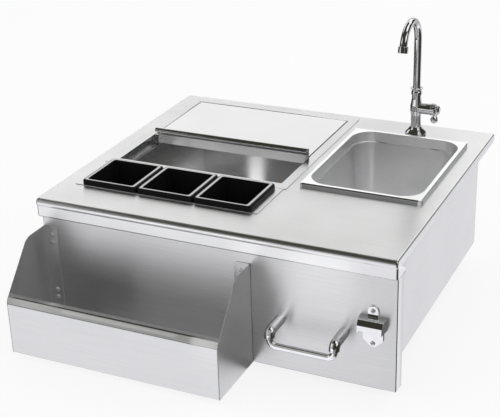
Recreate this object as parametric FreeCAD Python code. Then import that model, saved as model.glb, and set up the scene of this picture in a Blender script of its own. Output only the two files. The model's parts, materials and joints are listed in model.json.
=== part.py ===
import FreeCAD, Part
import math
import os

# Drop-in bar sink with an ice bin, a condiment tray, a mixer tap and a bottle rail.
# Millimetres, +Z up, +X to the right, -Y towards the person who uses it.
# Origin: on the counter's surface, at the centre of the length that the flange covers.

V = FreeCAD.Vector
X, Y, Z = V(1, 0, 0), V(0, 1, 0), V(0, 0, 1)

# Sheet metal
sheet = 1.2

# Countertop: a folded tray whose side and back edges stand on the counter
top_width = 762.0
flange_length = 625.0        # from the island's front face to the back edge
flange_drop = 19.0           # height of the folded side and back edges
flange_lip = 16.0            # inward lip that lies on the counter
apron_overhang = 42.0        # how far the apron stands out of the island's face
apron_height = 40.0
nose_radius = 9.0
nose_proud = 3.0             # the rounded nose stands this far in front of the apron
edge_gap = 1.5               # play between a drop-in piece's neck and its hole
hair = 0.001                 # tolerance for finding an edge by its place

# Front panel under the apron
panel_width = 757.0
panel_setback = 12.0         # behind the apron
panel_height = 281.0         # from the top of the countertop
panel_lip = 20.0             # folded edge under the panel

# Casing that drops into the island
casing_height = 258.0        # from the top of the countertop
casing_back_inset = 33.0     # from the back edge of the countertop
casing_lip = 8.0             # folded lower edge of each casing panel
casing_bin_gap = 14.9        # from the bin's jacket to the left side
casing_bowl_gap = 16.6       # from the sink bowl to the right side
divider_gap = 11.0           # from the bin's jacket to the sheet between bin and sink

# Ice bin
bin_x = -139.5
bin_width = 379.0            # clear opening at the rim
bin_length = 384.0
bin_rim_side = 21.0
bin_rim_front = 26.0
bin_rim_back = 19.0
bin_back_margin = 20.0       # from the rim to the countertop's back edge
ledge_depth = 22.0           # of the lid's ledge below the countertop
ledge_side = 10.0
ledge_front = 10.0
ledge_back = 20.0
tub_depth = 200.0            # from the ledge to the floor
insulation = 18.0
bin_drain_back = 70.0        # from the tub's back wall

# Ice bin drain
bin_spigot_radius = 13.22    # three-quarter inch pipe thread
bin_spigot_bore = 9.5
bin_hose_radius = 12.7       # of the spigot's lower part, for an inch hose
bin_hose_length = 35.0
bin_hose_drop = 2.0          # of its upper end below the casing
bin_drain_flange_radius = 21.0
bin_drain_flange = 2.5
bin_nut_radius = 20.0
bin_nut_height = 8.0
washer = 2.0                 # rubber and fibre washers

# Sliding lid of the bin
lid_length = 231.0
lid_gap = 1.5
lid_rise = 1.4               # of its top above the countertop
lid_skirt = 19.5             # folded side edges
lid_front_drop = 17.0        # lower edge of the front plate, below the countertop
lid_grip_rise = 22.0         # top of the grip above the countertop
lid_grip_radius = 8.0
lid_front_inset = 9.0        # the front plate stops this far short of the lid's left edge
glide_width = 6.0
glide_length = 34.0
glide_inset = 16.0           # from the ends of the lid

# Condiment holder and its inserts
holder_width = 411.0
holder_length = 127.0
holder_opening_width = 370.0
holder_opening_length = 116.0
holder_depth = 108.0
insert_count = 3
insert_width = 125.5
insert_length = 126.5
insert_gap = 2.0
insert_rim_height = 11.0
insert_rim_width = 8.0
insert_rim_round = 4.5
insert_wall = 2.2
insert_depth = 92.0          # below the holder's rim
insert_taper = 4.0           # each side, over the depth
insert_play = 1.0            # round each insert in the holder
insert_corner = 7.0          # of the body
insert_rim_corner = 9.0

# Sink bowl
sink_gap = 17.0              # from the ice bin's rim
sink_back_margin = 91.0
sink_rim_width = 258.0
sink_rim_length = 332.0
sink_rim_height = 8.0
sink_rim_strip = 9.5
sink_rim_corner = 9.0
sink_corner = 45.0
sink_step_depth = 15.5       # stacking step below the countertop
sink_step = 3.5
sink_depth = 152.0           # floor below the countertop
sink_taper = 7.0             # each side, from the step to the floor
sink_floor_radius = 20.0
sink_clip_width = 18.0
sink_clip_drop = 14.0
sink_clip_foot = 15.5        # from the bowl's neck to the end of the clip's foot
sink_clip_wall = 2.4

# Sink drain with its lift-out basket
drain_flange_radius = 36.0
drain_flange = 1.6
cup_radius = 25.0
cup_depth = 36.0
cup_wall = 1.4
drain_neck_radius = 21.0
drain_neck = 16.0
locknut_radius = 34.0
locknut_height = 9.0
locknut_ring_radius = 32.0   # between its lugs
locknut_lugs = 6
locknut_lug_width = 4.0
locknut_lug_root = 30.0
tail_radius = 19.05
tail_wall = 1.0
tail_length = 78.0
tail_bead = 1.6              # height of the bead that keeps the slip nut on the tailpiece
tail_bead_rise = 0.8
slip_nut_radius = 25.5
slip_nut_height = 15.0
basket_play = 0.6
basket_wall = 1.0
basket_depth = 22.0
basket_stem_radius = 2.5
basket_knob_radius = 8.0
basket_knob_top_radius = 4.0
basket_knob_edge = 2.0
basket_knob_height = 4.0
basket_hole_radius = 2.0
basket_holes = 8
basket_rings = (9.5, 17.5)   # radii of the two rings of holes

# Tap
tap_offset = 0.5             # to the right of the sink's centre line
tap_behind_rim = 31.0        # from the sink's rim to the tap's axis
shank_radius = 10.48         # half inch pipe thread
shank_reach = 66.0           # below the countertop
shank_hole_radius = 14.0
shank_groove = 3.0           # relief under the nut, between the two threads
shank_groove_radius = 9.8
shank_groove_drop = 1.0      # below the nut
spigot_radius = 8.0          # of the shank's end inside the column
spigot_length = 12.0
waterway_radius = 5.5
tap_seal_height = 1.0
bell_radius = 23.0
bell_edge = 3.6              # height of the bell's upright edge
bell_waist_radius = 16.0
bell_waist = 11.0            # height of that waist
bell_top_radius = 12.0
bell_height = 19.0
column_radius = 11.0
column_straight = 44.0       # height at which the column starts to widen
column_top = 92.0
neck_radius = 10.0
neck_start = 84.0
valve_height = 61.0
valve_bulge_radius = 13.0
valve_bulge = 5.0            # half the height of the bulge
barrel_radius = 12.0
barrel_reach = 34.0
cartridge_radius = 8.0
cartridge_depth = 26.0
cap_radius = 13.2
cap_length = 9.0
cap_grooves = 16
cap_groove_radius = 0.9
stem_radius = 4.0
stem_depth = 8.0             # in the cartridge
stem_end_gap = 0.5
running_gap = 0.05
hub_radius = 10.0
hub_length = 10.0
hub_foot_radius = 8.0
hub_foot = 2.5               # height of the bevel at the hub's foot
hub_shoulder = 6.0
hub_dome_radius = 6.5
hub_dome = 9.0
hub_tip_radius = 3.0
hub_gap = 1.2
lever_seat = 4.5             # of the lever along the hub
lever_length = 28.0          # from the hub's axis to the ball's centre
lever_droop = 28.0           # degrees below level, shut
lever_root_radius = 4.0
lever_tip_radius = 3.2
ball_radius = 8.3
collar_height = 16.0
collar_radius = 11.6
collar_skirt = 6.5
collar_waist = 9.5           # height at which the collar is down to the neck's radius
collar_ring_radius = 13.6
collar_ring = 3.0
collar_bevel = 0.6
socket_depth = 6.0
spout_radius = 8.2
spout_bore = 6.8
spout_straight = 217.0       # top of the straight pipe above the countertop
spout_bend = 51.0            # radius of the gooseneck
spout_turn = 166.0           # degrees
spout_stub = 5.0             # straight end inside the aerator
aerator_radius = 10.6
aerator_length = 14.0
screen_thickness = 1.5
screen_inset = 1.0
screen_hole_radius = 0.9
screen_ring = 3.6
screen_holes = 6
seal_section = 1.2
tap_washer_radius = 20.0
tap_nut_radius = 19.0
tap_nut_height = 8.0

# Bottle rail
rail_width = 464.0
rail_depth = 148.0
rail_height = 109.0          # of the upright front wall
rail_lip_rise = 12.5
rail_lip_run = 9.5
rail_lip_flat = 12.0
rail_back_height = 18.0
rail_end_height = 216.0      # against the front panel
rail_end_flange = 32.0
rail_flange_corner = 8.0
rail_shoulder = 61.0         # flat top of the end panels, up to the slope
rail_shoulder_radius = 30.0
rail_front_rise = 7.0        # of the slope's lower end above the front wall
rail_front_radius = 18.0
screw_inset = 19.0
screw_drops = (17.0, 35.0, 143.0, 160.0)
screw_radius = 2.4
screw_length = 9.0
screw_head_radius = 4.6
screw_head_edge = 0.8
screw_head_height = 2.4
screw_dome_radius = 2.8

# Towel bar
bar_x = 209.0
bar_depth_down = 174.5       # of its feet below the countertop
bar_span = 130.0             # between the middles of its feet
bar_reach = 48.0
bar_drop = 28.5
bar_leg_radius = 10.3
bar_grip_radius = 6.6
bar_leg_bend = 11.0
bar_grip_bend = 14.0
bar_bolt_radius = 2.5
bar_bolt_depth = 14.0
bar_bolt_head_radius = 5.0
bar_bolt_head = 3.5

# Bottle opener
opener_x = 332.5
opener_top = 104.5           # of the tab, below the countertop
opener_tab_radius = 10.5
opener_plate = 3.0
opener_hood_top = 127.0
opener_hood_width = 53.5
opener_lip_width = 48.0
opener_hood_height = 21.5
opener_hood_reach = 25.0
opener_hood_bend = 16.0
opener_wall = 3.0
opener_cheek_drop = 3.0
opener_shield_width = 40.0
opener_shield_shoulder = 175.0
opener_shield_end = 189.5
opener_tip_width = 9.0
opener_shield_radius = 3.0
opener_screw_upper = 113.5
opener_screw_lower = 182.0

# Planes that several pieces share
top_z = flange_drop
under_z = top_z - sheet
y_face = -flange_length / 2
y_back = flange_length / 2
y_apron = y_face - apron_overhang
y_nose = y_apron - nose_proud
y_panel = y_apron + panel_setback
y_panel_back = y_panel + sheet
y_casing_back = y_back - casing_back_inset
z_panel = top_z - panel_height
z_casing = top_z - casing_height
bin_y1 = y_back - bin_back_margin - bin_rim_back
bin_y0 = bin_y1 - bin_length
bin_x0 = bin_x - bin_width / 2
bin_x1 = bin_x + bin_width / 2
z_ledge = top_z - ledge_depth
z_tub = z_ledge - tub_depth
tub_x0, tub_x1 = bin_x0 + ledge_side, bin_x1 - ledge_side
tub_y0, tub_y1 = bin_y0 + ledge_front, bin_y1 - ledge_back
jacket = 2 * sheet + insulation       # from the inside of the tub to the outside of the jacket
holder_y1 = bin_y0 - bin_rim_front
holder_y0 = holder_y1 - holder_length
holder_y = (holder_y0 + holder_y1) / 2
sink_x = bin_x1 + bin_rim_side + sink_gap + sink_rim_width / 2
sink_y = y_back - sink_back_margin - sink_rim_length / 2
sink_rim_z = top_z + sink_rim_height
sink_half_width = sink_rim_width / 2 - sink_rim_strip
sink_half_length = sink_rim_length / 2 - sink_rim_strip
z_step = top_z - sink_step_depth
z_sink = top_z - sink_depth
casing_x0 = tub_x0 - jacket - casing_bin_gap - sheet
casing_x1 = sink_x + sink_half_width + sheet + casing_bowl_gap + sheet
divider_x0 = tub_x1 + jacket + divider_gap
divider_x1 = divider_x0 + sheet
tap_x = sink_x + tap_offset
tap_y = sink_y + sink_rim_length / 2 + tap_behind_rim
z_valve = top_z + valve_height
z_column = top_z + column_top
rail_x0 = -panel_width / 2
rail_x1 = rail_x0 + rail_width
rail_y0 = y_panel - rail_depth


def block(x0, x1, y0, y1, z0, z1):
    """A box between two corners."""
    return Part.makeBox(x1 - x0, y1 - y0, z1 - z0, V(x0, y0, z0))


def rod(centre, axis, radius, length):
    """A cylinder that starts at centre and runs along axis."""
    return Part.makeCylinder(radius, length, centre, axis)


def tube(centre, axis, outer, inner, length):
    """A hollow cylinder."""
    return rod(centre, axis, outer, length).cut(rod(centre, axis, inner, length))


def rounded_outline(x, y, z, half_x, half_y, corner):
    """A closed rectangle with round corners, level at height z."""
    edges = []
    sides = ((1, 1, 0), (-1, 1, 90), (-1, -1, 180), (1, -1, 270))
    centres = [V(x + sx * (half_x - corner), y + sy * (half_y - corner), z) for sx, sy, _ in sides]
    for i, (_, _, start) in enumerate(sides):
        circle = Part.Circle(centres[i], Z, corner)
        arc = Part.ArcOfCircle(circle, math.radians(start), math.radians(start + 90))
        edges.append(arc.toShape())
        turn = math.radians(start + 90)
        away = V(math.cos(turn), math.sin(turn), 0) * corner
        edges.append(Part.makeLine(centres[i] + away, centres[(i + 1) % 4] + away))
    return Part.Wire(edges)


def rounded_block(x, y, z0, z1, half_x, half_y, corner):
    """An upright block with round corners in plan."""
    return Part.Face(rounded_outline(x, y, z0, half_x, half_y, corner)).extrude(Z * (z1 - z0))


def tapered_block(x, y, z0, z1, bottom, top, corner_bottom, corner_top):
    """A block whose plan grows from bottom to top, each given as (half_x, half_y)."""
    low = rounded_outline(x, y, z0, bottom[0], bottom[1], corner_bottom)
    high = rounded_outline(x, y, z1, top[0], top[1], corner_top)
    return Part.makeLoft([low, high], True, True)


def turned(points, centre, axis=Z):
    """A solid of revolution from (radius, height) points that start and end on the axis."""
    corners = [V(radius, 0, height) for radius, height in points]
    face = Part.Face(Part.makePolygon(corners + [corners[0]]))
    shape = face.revolve(V(0, 0, 0), Z, 360)
    shape.Placement = FreeCAD.Placement(centre, FreeCAD.Rotation(Z, axis))
    return shape


def profile_along_x(points, x0, x1):
    """A flat outline of (y, z) points, drawn out from x0 to x1."""
    corners = [V(x0, y, z) for y, z in points]
    return Part.Face(Part.makePolygon(corners + [corners[0]])).extrude(X * (x1 - x0))


def hexagon(centre, axis, radius, height, bore):
    """A hexagonal nut; radius is to its corners."""
    corners = [V(radius * math.cos(math.radians(60 * k)), radius * math.sin(math.radians(60 * k)), 0)
               for k in range(6)]
    nut = Part.Face(Part.makePolygon(corners + [corners[0]])).extrude(Z * height)
    nut = nut.cut(Part.makeCylinder(bore, height))
    nut.Placement = FreeCAD.Placement(centre, FreeCAD.Rotation(Z, axis))
    return nut


def bent_rod(centre, radius, start, around, degrees):
    """A round bar bent about the line through centre along around."""
    circle = Part.Wire(Part.makeCircle(radius, start, (start - centre).cross(around)))
    return Part.Face(circle).revolve(centre, around, degrees)


def fused(first, *others):
    """Several solids joined into one, with the seams between level faces removed."""
    return first.fuse(list(others)).removeSplitter() if others else first


def save(name, shape):
    """Writes one node; a node may be a group of separate solids."""
    shape.exportStep("parts/" + name + ".step")


def nose_arc(x, inner):
    """The rounded nose in section, from the top sheet down to the apron's face.

    inner is the distance inside the outer skin."""
    radius = nose_radius - inner
    centre = V(x, y_nose + nose_radius, top_z - nose_radius)
    apron = y_apron + inner
    drop = math.sqrt(radius ** 2 - (centre.y - apron) ** 2)
    front = V(x, centre.y - radius, centre.z)
    arc = Part.Arc(V(x, centre.y, centre.z + radius), front, V(x, apron, centre.z - drop))
    return arc.toShape(), V(x, centre.y, centre.z + radius), V(x, apron, centre.z - drop)


def section_along_x(arcs, corners, length):
    """A closed section of arcs and of straight lines between pairs of corners, drawn out along X."""
    lines = [Part.makeLine(a, b) for a, b in corners]
    wire = Part.Wire(Part.sortEdges(arcs + lines)[0])
    return Part.Face(wire).extrude(X * length)


def countertop():
    half = top_width / 2
    x0 = -half
    outer, outer_top, outer_low = nose_arc(x0, 0)
    inner, inner_top, inner_low = nose_arc(x0, sheet)
    z_lip = top_z - apron_height
    back_top, back_low = V(x0, y_back, top_z), V(x0, y_back, under_z)
    lip_front, lip_back = V(x0, y_apron, z_lip), V(x0, y_panel, z_lip)
    lip_inner, lip_above = V(x0, y_apron + sheet, z_lip + sheet), V(x0, y_panel, z_lip + sheet)
    skin = section_along_x([outer, inner],
                           [(outer_top, back_top), (back_top, back_low), (back_low, inner_top),
                            (inner_low, lip_inner), (lip_inner, lip_above), (lip_above, lip_back),
                            (lip_back, lip_front), (lip_front, outer_low)], top_width)
    cap_low, cap_high = V(x0, y_face, z_lip), V(x0, y_face, top_z)
    cap = section_along_x([outer], [(outer_low, lip_front), (lip_front, cap_low), (cap_low, cap_high),
                                    (cap_high, outer_top)], sheet)
    pieces = [cap, cap.translated(X * (top_width - sheet))]
    for side in (-1, 1):
        edge = sorted((side * half, side * (half - sheet)))
        lip = sorted((side * half, side * (half - flange_lip)))
        pieces.append(block(edge[0], edge[1], y_face, y_back, 0, top_z))
        pieces.append(block(lip[0], lip[1], y_face, y_back, 0, sheet))
    pieces.append(block(-half, half, y_back - sheet, y_back, 0, top_z))
    pieces.append(block(-half, half, y_back - flange_lip, y_back, 0, sheet))
    shape = fused(skin, *pieces)
    neck = sheet + edge_gap
    shape = shape.cut(block(bin_x0 - neck, bin_x1 + neck, bin_y0 - neck, bin_y1 + neck, under_z, top_z))
    half_opening = holder_opening_width / 2 + neck
    half_length = holder_opening_length / 2 + neck
    shape = shape.cut(block(bin_x - half_opening, bin_x + half_opening, holder_y - half_length,
                            holder_y + half_length, under_z, top_z))
    shape = shape.cut(rounded_block(sink_x, sink_y, under_z, top_z, sink_half_width + neck,
                                    sink_half_length + neck, sink_corner + neck))
    return shape.cut(rod(V(tap_x, tap_y, under_z), Z, shank_hole_radius, sheet))


def front_panel():
    half = panel_width / 2
    face = block(-half, half, y_panel, y_panel_back, z_panel, under_z)
    left = block(-half, -half + sheet, y_panel, y_face, z_panel, under_z)
    right = block(half - sheet, half, y_panel, y_face, z_panel, under_z)
    lip = block(-half, half, y_panel, y_panel + panel_lip, z_panel, z_panel + sheet)
    shape = fused(face, left, right, lip)
    for x, z in towel_bar_feet():
        shape = shape.cut(rod(V(x, y_panel, z), Y, bar_bolt_radius, sheet))
    for place in rail_screw_places(-1) + rail_screw_places(1) + opener_screw_places():
        shape = shape.cut(rod(V(place.x, y_panel, place.z), Y, screw_radius, sheet))
    return shape


def side_panel(side):
    """A casing side with its lower edge folded inwards; side is -1 for the left, 1 for the right."""
    outer = casing_x0 if side < 0 else casing_x1
    inner, lip = outer - side * sheet, outer - side * casing_lip
    wall = block(min(outer, inner), max(outer, inner), y_panel_back, y_casing_back, z_casing, under_z)
    fold = block(min(outer, lip), max(outer, lip), y_panel_back, y_casing_back, z_casing,
                 z_casing + sheet)
    return fused(wall, fold)


def back_panel():
    x0, x1 = casing_x0 + sheet, casing_x1 - sheet
    wall = block(x0, x1, y_casing_back - sheet, y_casing_back, z_casing + sheet, under_z)
    fold = block(x0, x1, y_casing_back - casing_lip, y_casing_back, z_casing + sheet,
                 z_casing + 2 * sheet)
    return fused(wall, fold)


def divider_panel():
    """The upright sheet between the ice bin and the sink."""
    return block(divider_x0, divider_x1, y_panel_back, y_casing_back - sheet, z_casing + 2 * sheet,
                 under_z)


def bin_drain_place():
    return bin_x, tub_y1 - bin_drain_back


def bottom_panel():
    """Closes the casing under the ice bin; the sink's side stays open for its pipes."""
    x, y = bin_drain_place()
    floor = block(casing_x0 + sheet, divider_x1, y_panel_back, y_casing_back - casing_lip,
                  z_casing + sheet, z_casing + 2 * sheet)
    return floor.cut(rod(V(x, y, z_casing), Z, bin_spigot_radius + edge_gap, 3 * sheet))


def bin_liner():
    """Rim, upright neck, the lid's ledge and the tub, folded and welded from one sheet."""
    rim = block(bin_x0 - bin_rim_side, bin_x1 + bin_rim_side, bin_y0 - bin_rim_front,
                bin_y1 + bin_rim_back, top_z, top_z + sheet)
    neck = block(bin_x0 - sheet, bin_x1 + sheet, bin_y0 - sheet, bin_y1 + sheet,
                 z_ledge - sheet, top_z)
    tub = block(tub_x0 - sheet, tub_x1 + sheet, tub_y0 - sheet, tub_y1 + sheet,
                z_tub - sheet, z_ledge)
    shape = fused(rim, neck, tub)
    shape = shape.cut(block(bin_x0, bin_x1, bin_y0, bin_y1, z_ledge, top_z + sheet))
    shape = shape.cut(block(tub_x0, tub_x1, tub_y0, tub_y1, z_tub, z_ledge))
    x, y = bin_drain_place()
    return shape.cut(rod(V(x, y, z_tub - sheet), Z, bin_spigot_radius, sheet))


def bin_insulation():
    """Foam round the tub, under the ledge."""
    z0, z1 = z_tub - sheet - insulation, z_ledge - sheet
    reach = sheet + insulation
    foam = block(tub_x0 - reach, tub_x1 + reach, tub_y0 - reach, tub_y1 + reach, z0, z1)
    foam = foam.cut(block(tub_x0 - sheet, tub_x1 + sheet, tub_y0 - sheet, tub_y1 + sheet,
                          z_tub - sheet, z1))
    x, y = bin_drain_place()
    return foam.cut(rod(V(x, y, z0), Z, bin_spigot_radius, insulation))


def bin_jacket():
    """The sheet box outside the foam, with a lip that closes it against the liner's neck."""
    inner = sheet + insulation
    outer = inner + sheet
    z0 = z_tub - inner
    z_lip = z_ledge - sheet
    shape = block(tub_x0 - outer, tub_x1 + outer, tub_y0 - outer, tub_y1 + outer,
                  z0 - sheet, z_lip + sheet)
    shape = shape.cut(block(tub_x0 - inner, tub_x1 + inner, tub_y0 - inner, tub_y1 + inner,
                            z0, z_lip))
    shape = shape.cut(block(bin_x0 - sheet, bin_x1 + sheet, bin_y0 - sheet, bin_y1 + sheet,
                            z_lip, z_lip + sheet))
    x, y = bin_drain_place()
    return shape.cut(rod(V(x, y, z0 - sheet), Z, bin_spigot_radius, sheet))


def bin_drain_fitting():
    """A flanged spigot, threaded through the bin's floor and stepped down for a hose."""
    x, y = bin_drain_place()
    z_step = z_casing - bin_hose_drop
    z_end = z_step - bin_hose_length
    flange = rod(V(x, y, z_tub), Z, bin_drain_flange_radius, bin_drain_flange)
    spigot = rod(V(x, y, z_step), Z, bin_spigot_radius, z_tub - z_step)
    hose_end = rod(V(x, y, z_end), Z, bin_hose_radius, bin_hose_length)
    return fused(flange, spigot, hose_end).cut(rod(V(x, y, z_end), Z, bin_spigot_bore,
                                                   z_tub + bin_drain_flange - z_end))


def bin_drain_washer():
    x, y = bin_drain_place()
    z1 = z_tub - 2 * sheet - insulation
    return tube(V(x, y, z1 - washer), Z, bin_nut_radius, bin_spigot_radius, washer)


def bin_drain_nut():
    x, y = bin_drain_place()
    z1 = z_tub - 2 * sheet - insulation - washer
    return hexagon(V(x, y, z1 - bin_nut_height), Z, bin_nut_radius, bin_nut_height, bin_spigot_radius)


def lid_edges():
    """The lid's plan: left, right, front and back."""
    y1 = bin_y1 - lid_gap
    return bin_x0 + lid_gap, bin_x1 - lid_gap, y1 - lid_length, y1


def lid_panel():
    """A sheet with its sides and back folded down onto the glides."""
    x0, x1, y0, y1 = lid_edges()
    z1 = top_z + lid_rise
    top = block(x0, x1, y0 + sheet, y1, z1 - sheet, z1)
    left = block(x0, x0 + sheet, y0 + sheet, y1, z1 - lid_skirt, z1)
    right = block(x1 - sheet, x1, y0 + sheet, y1, z1 - lid_skirt, z1)
    back = block(x0, x1, y1 - sheet, y1, z1 - lid_skirt, z1)
    return fused(top, left, right, back)


def lid_front():
    """The lid's front plate, with its upper edge rolled forwards as a grip."""
    x0, x1, y0, _ = lid_edges()
    x0 = x0 + lid_front_inset
    z0, z1 = top_z - lid_front_drop, top_z + lid_grip_rise
    plate = block(x0, x1, y0, y0 + sheet, z0, z1 - lid_grip_radius)
    centre = V(x0, y0 + sheet - lid_grip_radius, z1 - lid_grip_radius)
    roll = rod(centre, X, lid_grip_radius, x1 - x0)
    inside = rod(centre, X, lid_grip_radius - sheet, x1 - x0)
    below = block(x0, x1, centre.y - lid_grip_radius, centre.y, centre.z - lid_grip_radius, centre.z)
    return fused(plate, roll).cut(inside).cut(below)


def lid_glides():
    """Four plastic pads between the lid's folded sides and the ledge."""
    x0, x1, y0, y1 = lid_edges()
    z1 = top_z + lid_rise - lid_skirt
    pads = []
    for x in (x0, x1 - glide_width):
        for y in (y0 + glide_inset, y1 - glide_inset - glide_length):
            pads.append(block(x, x + glide_width, y, y + glide_length, z_ledge, z1))
    return Part.Compound(pads)


def condiment_holder():
    half_x, half_y = holder_opening_width / 2, holder_opening_length / 2
    x, y = bin_x, holder_y
    rim = block(x - holder_width / 2, x + holder_width / 2, holder_y0, holder_y1,
                top_z, top_z + sheet)
    pan = block(x - half_x - sheet, x + half_x + sheet, y - half_y - sheet, y + half_y + sheet,
                top_z - holder_depth - sheet, top_z)
    cavity = block(x - half_x, x + half_x, y - half_y, y + half_y, top_z - holder_depth,
                   top_z + sheet)
    return fused(rim, pan).cut(cavity)


def insert_places():
    """The middle of each condiment insert, from left to right."""
    pitch = insert_width + insert_gap
    first = bin_x - pitch * (insert_count - 1) / 2
    return [first + pitch * k for k in range(insert_count)]


def condiment_insert(x):
    """A tapered plastic pan that hangs by its thick, rounded rim."""
    z0 = top_z + sheet
    z1 = z0 + insert_rim_height
    z_floor = top_z - insert_depth
    y = holder_y
    half_x = insert_width / 2 - insert_rim_width
    half_y = holder_opening_length / 2 - insert_play
    rim = rounded_block(x, y, z0, z1, insert_width / 2, insert_length / 2, insert_rim_corner)
    top_edges = [edge for edge in rim.Edges if edge.BoundBox.ZMin > z1 - hair]
    rim = rim.makeFillet(insert_rim_round, top_edges)
    body = tapered_block(x, y, z_floor, z0, (half_x - insert_taper, half_y - insert_taper),
                         (half_x, half_y), insert_corner, insert_corner)
    wall = insert_wall
    inner = tapered_block(x, y, z_floor + wall, z1,
                          (half_x - insert_taper - wall, half_y - insert_taper - wall),
                          (half_x - wall, half_y - wall), insert_corner - wall, insert_corner - wall)
    return fused(rim, body).cut(inner)


def bowl_core(grow, z_top):
    """The inside of the bowl, or with grow its outside."""
    upper = rounded_block(sink_x, sink_y, z_step - grow, z_top, sink_half_width + grow,
                          sink_half_length + grow, sink_corner + grow)
    top = (sink_half_width - sink_step + grow, sink_half_length - sink_step + grow)
    bottom = (top[0] - sink_taper, top[1] - sink_taper)
    lower = tapered_block(sink_x, sink_y, z_sink - grow, z_step - grow, bottom, top,
                          sink_corner - sink_step + grow - sink_taper, sink_corner - sink_step + grow)
    floor = [edge for edge in lower.Edges if edge.BoundBox.ZMax < z_sink - grow + hair]
    lower = lower.makeFillet(sink_floor_radius + grow, floor)
    return fused(upper, lower)


def sink_bowl():
    """A drawn bowl whose rim stands on a folded edge, with a stacking step inside."""
    rim = rounded_block(sink_x, sink_y, top_z, sink_rim_z, sink_rim_width / 2, sink_rim_length / 2,
                        sink_rim_corner)
    hollow = rounded_block(sink_x, sink_y, top_z, sink_rim_z - sheet, sink_rim_width / 2 - sheet,
                           sink_rim_length / 2 - sheet, sink_rim_corner - sheet)
    shape = fused(rim.cut(hollow), bowl_core(sheet, sink_rim_z)).cut(bowl_core(0, sink_rim_z))
    return shape.cut(rod(V(sink_x, sink_y, z_sink - sheet), Z, cup_radius, sheet))


def sink_clips():
    """Four angle clips, at the bowl's front and back, that hold its neck in the countertop's hole."""
    clips = []
    for side in (-1, 1):
        for end in (-1, 1):
            x0 = sink_x + end * sink_half_width / 2 - sink_clip_width / 2
            x1 = x0 + sink_clip_width
            neck = sink_y + side * (sink_half_length + sheet)
            wall, foot = neck + side * sink_clip_wall, neck + side * sink_clip_foot
            upright = block(x0, x1, min(neck, wall), max(neck, wall), under_z - sink_clip_drop, under_z)
            base = block(x0, x1, min(neck, foot), max(neck, foot), under_z - sink_clip_wall, under_z)
            clips.append(fused(upright, base))
    return Part.Compound(clips)


def drain_levels():
    """Heights in the sink's drain: the cup's floor, the neck's end and the tailpiece's end."""
    z_cup = z_sink - cup_depth
    z_neck = z_cup - drain_neck
    return z_cup, z_neck, z_neck - tail_length


def drain_body():
    """The flanged cup that hangs in the bowl's hole."""
    z_cup, z_neck, _ = drain_levels()
    x, y = sink_x, sink_y
    flange = rod(V(x, y, z_sink), Z, drain_flange_radius, drain_flange)
    cup = rod(V(x, y, z_cup), Z, cup_radius, z_sink - z_cup)
    neck = rod(V(x, y, z_neck), Z, drain_neck_radius, drain_neck)
    shape = fused(flange, cup, neck)
    shape = shape.cut(rod(V(x, y, z_cup + cup_wall), Z, cup_radius - cup_wall,
                          cup_depth + drain_flange))
    return shape.cut(rod(V(x, y, z_neck), Z, tail_radius, drain_neck + 2 * cup_wall))


def drain_gasket():
    z1 = z_sink - sheet
    return tube(V(sink_x, sink_y, z1 - washer), Z, locknut_radius, cup_radius, washer)


def drain_locknut():
    z1 = z_sink - sheet - washer
    place = V(sink_x, sink_y, z1 - locknut_height)
    nut = tube(place, Z, locknut_ring_radius, cup_radius, locknut_height)
    half = locknut_lug_width / 2
    lug = block(locknut_lug_root, locknut_radius, -half, half, 0, locknut_height)
    turn = 360 / locknut_lugs
    lugs = [lug.rotated(V(0, 0, 0), Z, turn * k).translated(place) for k in range(locknut_lugs)]
    return fused(nut, *lugs)


def drain_slip_nut():
    _, z_neck, _ = drain_levels()
    nut = tube(V(sink_x, sink_y, z_neck - washer), Z, slip_nut_radius, tail_radius, slip_nut_height)
    return nut.cut(rod(V(sink_x, sink_y, z_neck), Z, drain_neck_radius, slip_nut_height))


def drain_tailpiece():
    z_cup, z_neck, z_end = drain_levels()
    place = V(sink_x, sink_y, z_end)
    bead = rod(V(sink_x, sink_y, z_neck - washer - tail_bead), Z, tail_radius + tail_bead_rise,
               tail_bead)
    return fused(rod(place, Z, tail_radius, z_cup - z_end), bead).cut(
        rod(place, Z, tail_radius - tail_wall, z_cup - z_end))


def strainer_basket():
    """A perforated cup with a stem and a knob, resting on the floor of the drain's cup."""
    z_cup, _, _ = drain_levels()
    z0 = z_cup + cup_wall
    outer = cup_radius - cup_wall - basket_play
    x, y = sink_x, sink_y
    cup = rod(V(x, y, z0), Z, outer, basket_depth)
    cup = cup.cut(rod(V(x, y, z0 + basket_wall), Z, outer - basket_wall, basket_depth))
    stem = rod(V(x, y, z0), Z, basket_stem_radius, z_sink - z0)
    knob = turned([(0, 0), (basket_knob_radius, 0), (basket_knob_radius, basket_knob_edge),
                   (basket_knob_top_radius, basket_knob_height), (0, basket_knob_height)],
                  V(x, y, z_sink - basket_knob_edge))
    shape = fused(cup, stem, knob)
    for ring in basket_rings:
        for k in range(basket_holes):
            turn = math.radians(360 / basket_holes * k)
            place = V(x + ring * math.cos(turn), y + ring * math.sin(turn), z0)
            shape = shape.cut(rod(place, Z, basket_hole_radius, basket_wall))
    return shape


def tap_seal():
    return tube(V(tap_x, tap_y, top_z), Z, bell_radius - sheet, shank_radius, tap_seal_height)


def tap_base():
    """The bell that covers the hole in the countertop."""
    foot = V(tap_x, tap_y, top_z + tap_seal_height)
    height = bell_height - tap_seal_height
    bell = turned([(0, 0), (bell_radius, 0), (bell_radius, bell_edge), (bell_waist_radius, bell_waist),
                   (bell_top_radius, height), (0, height)], foot)
    return bell.cut(rod(foot, Z, shank_radius, height))


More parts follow.
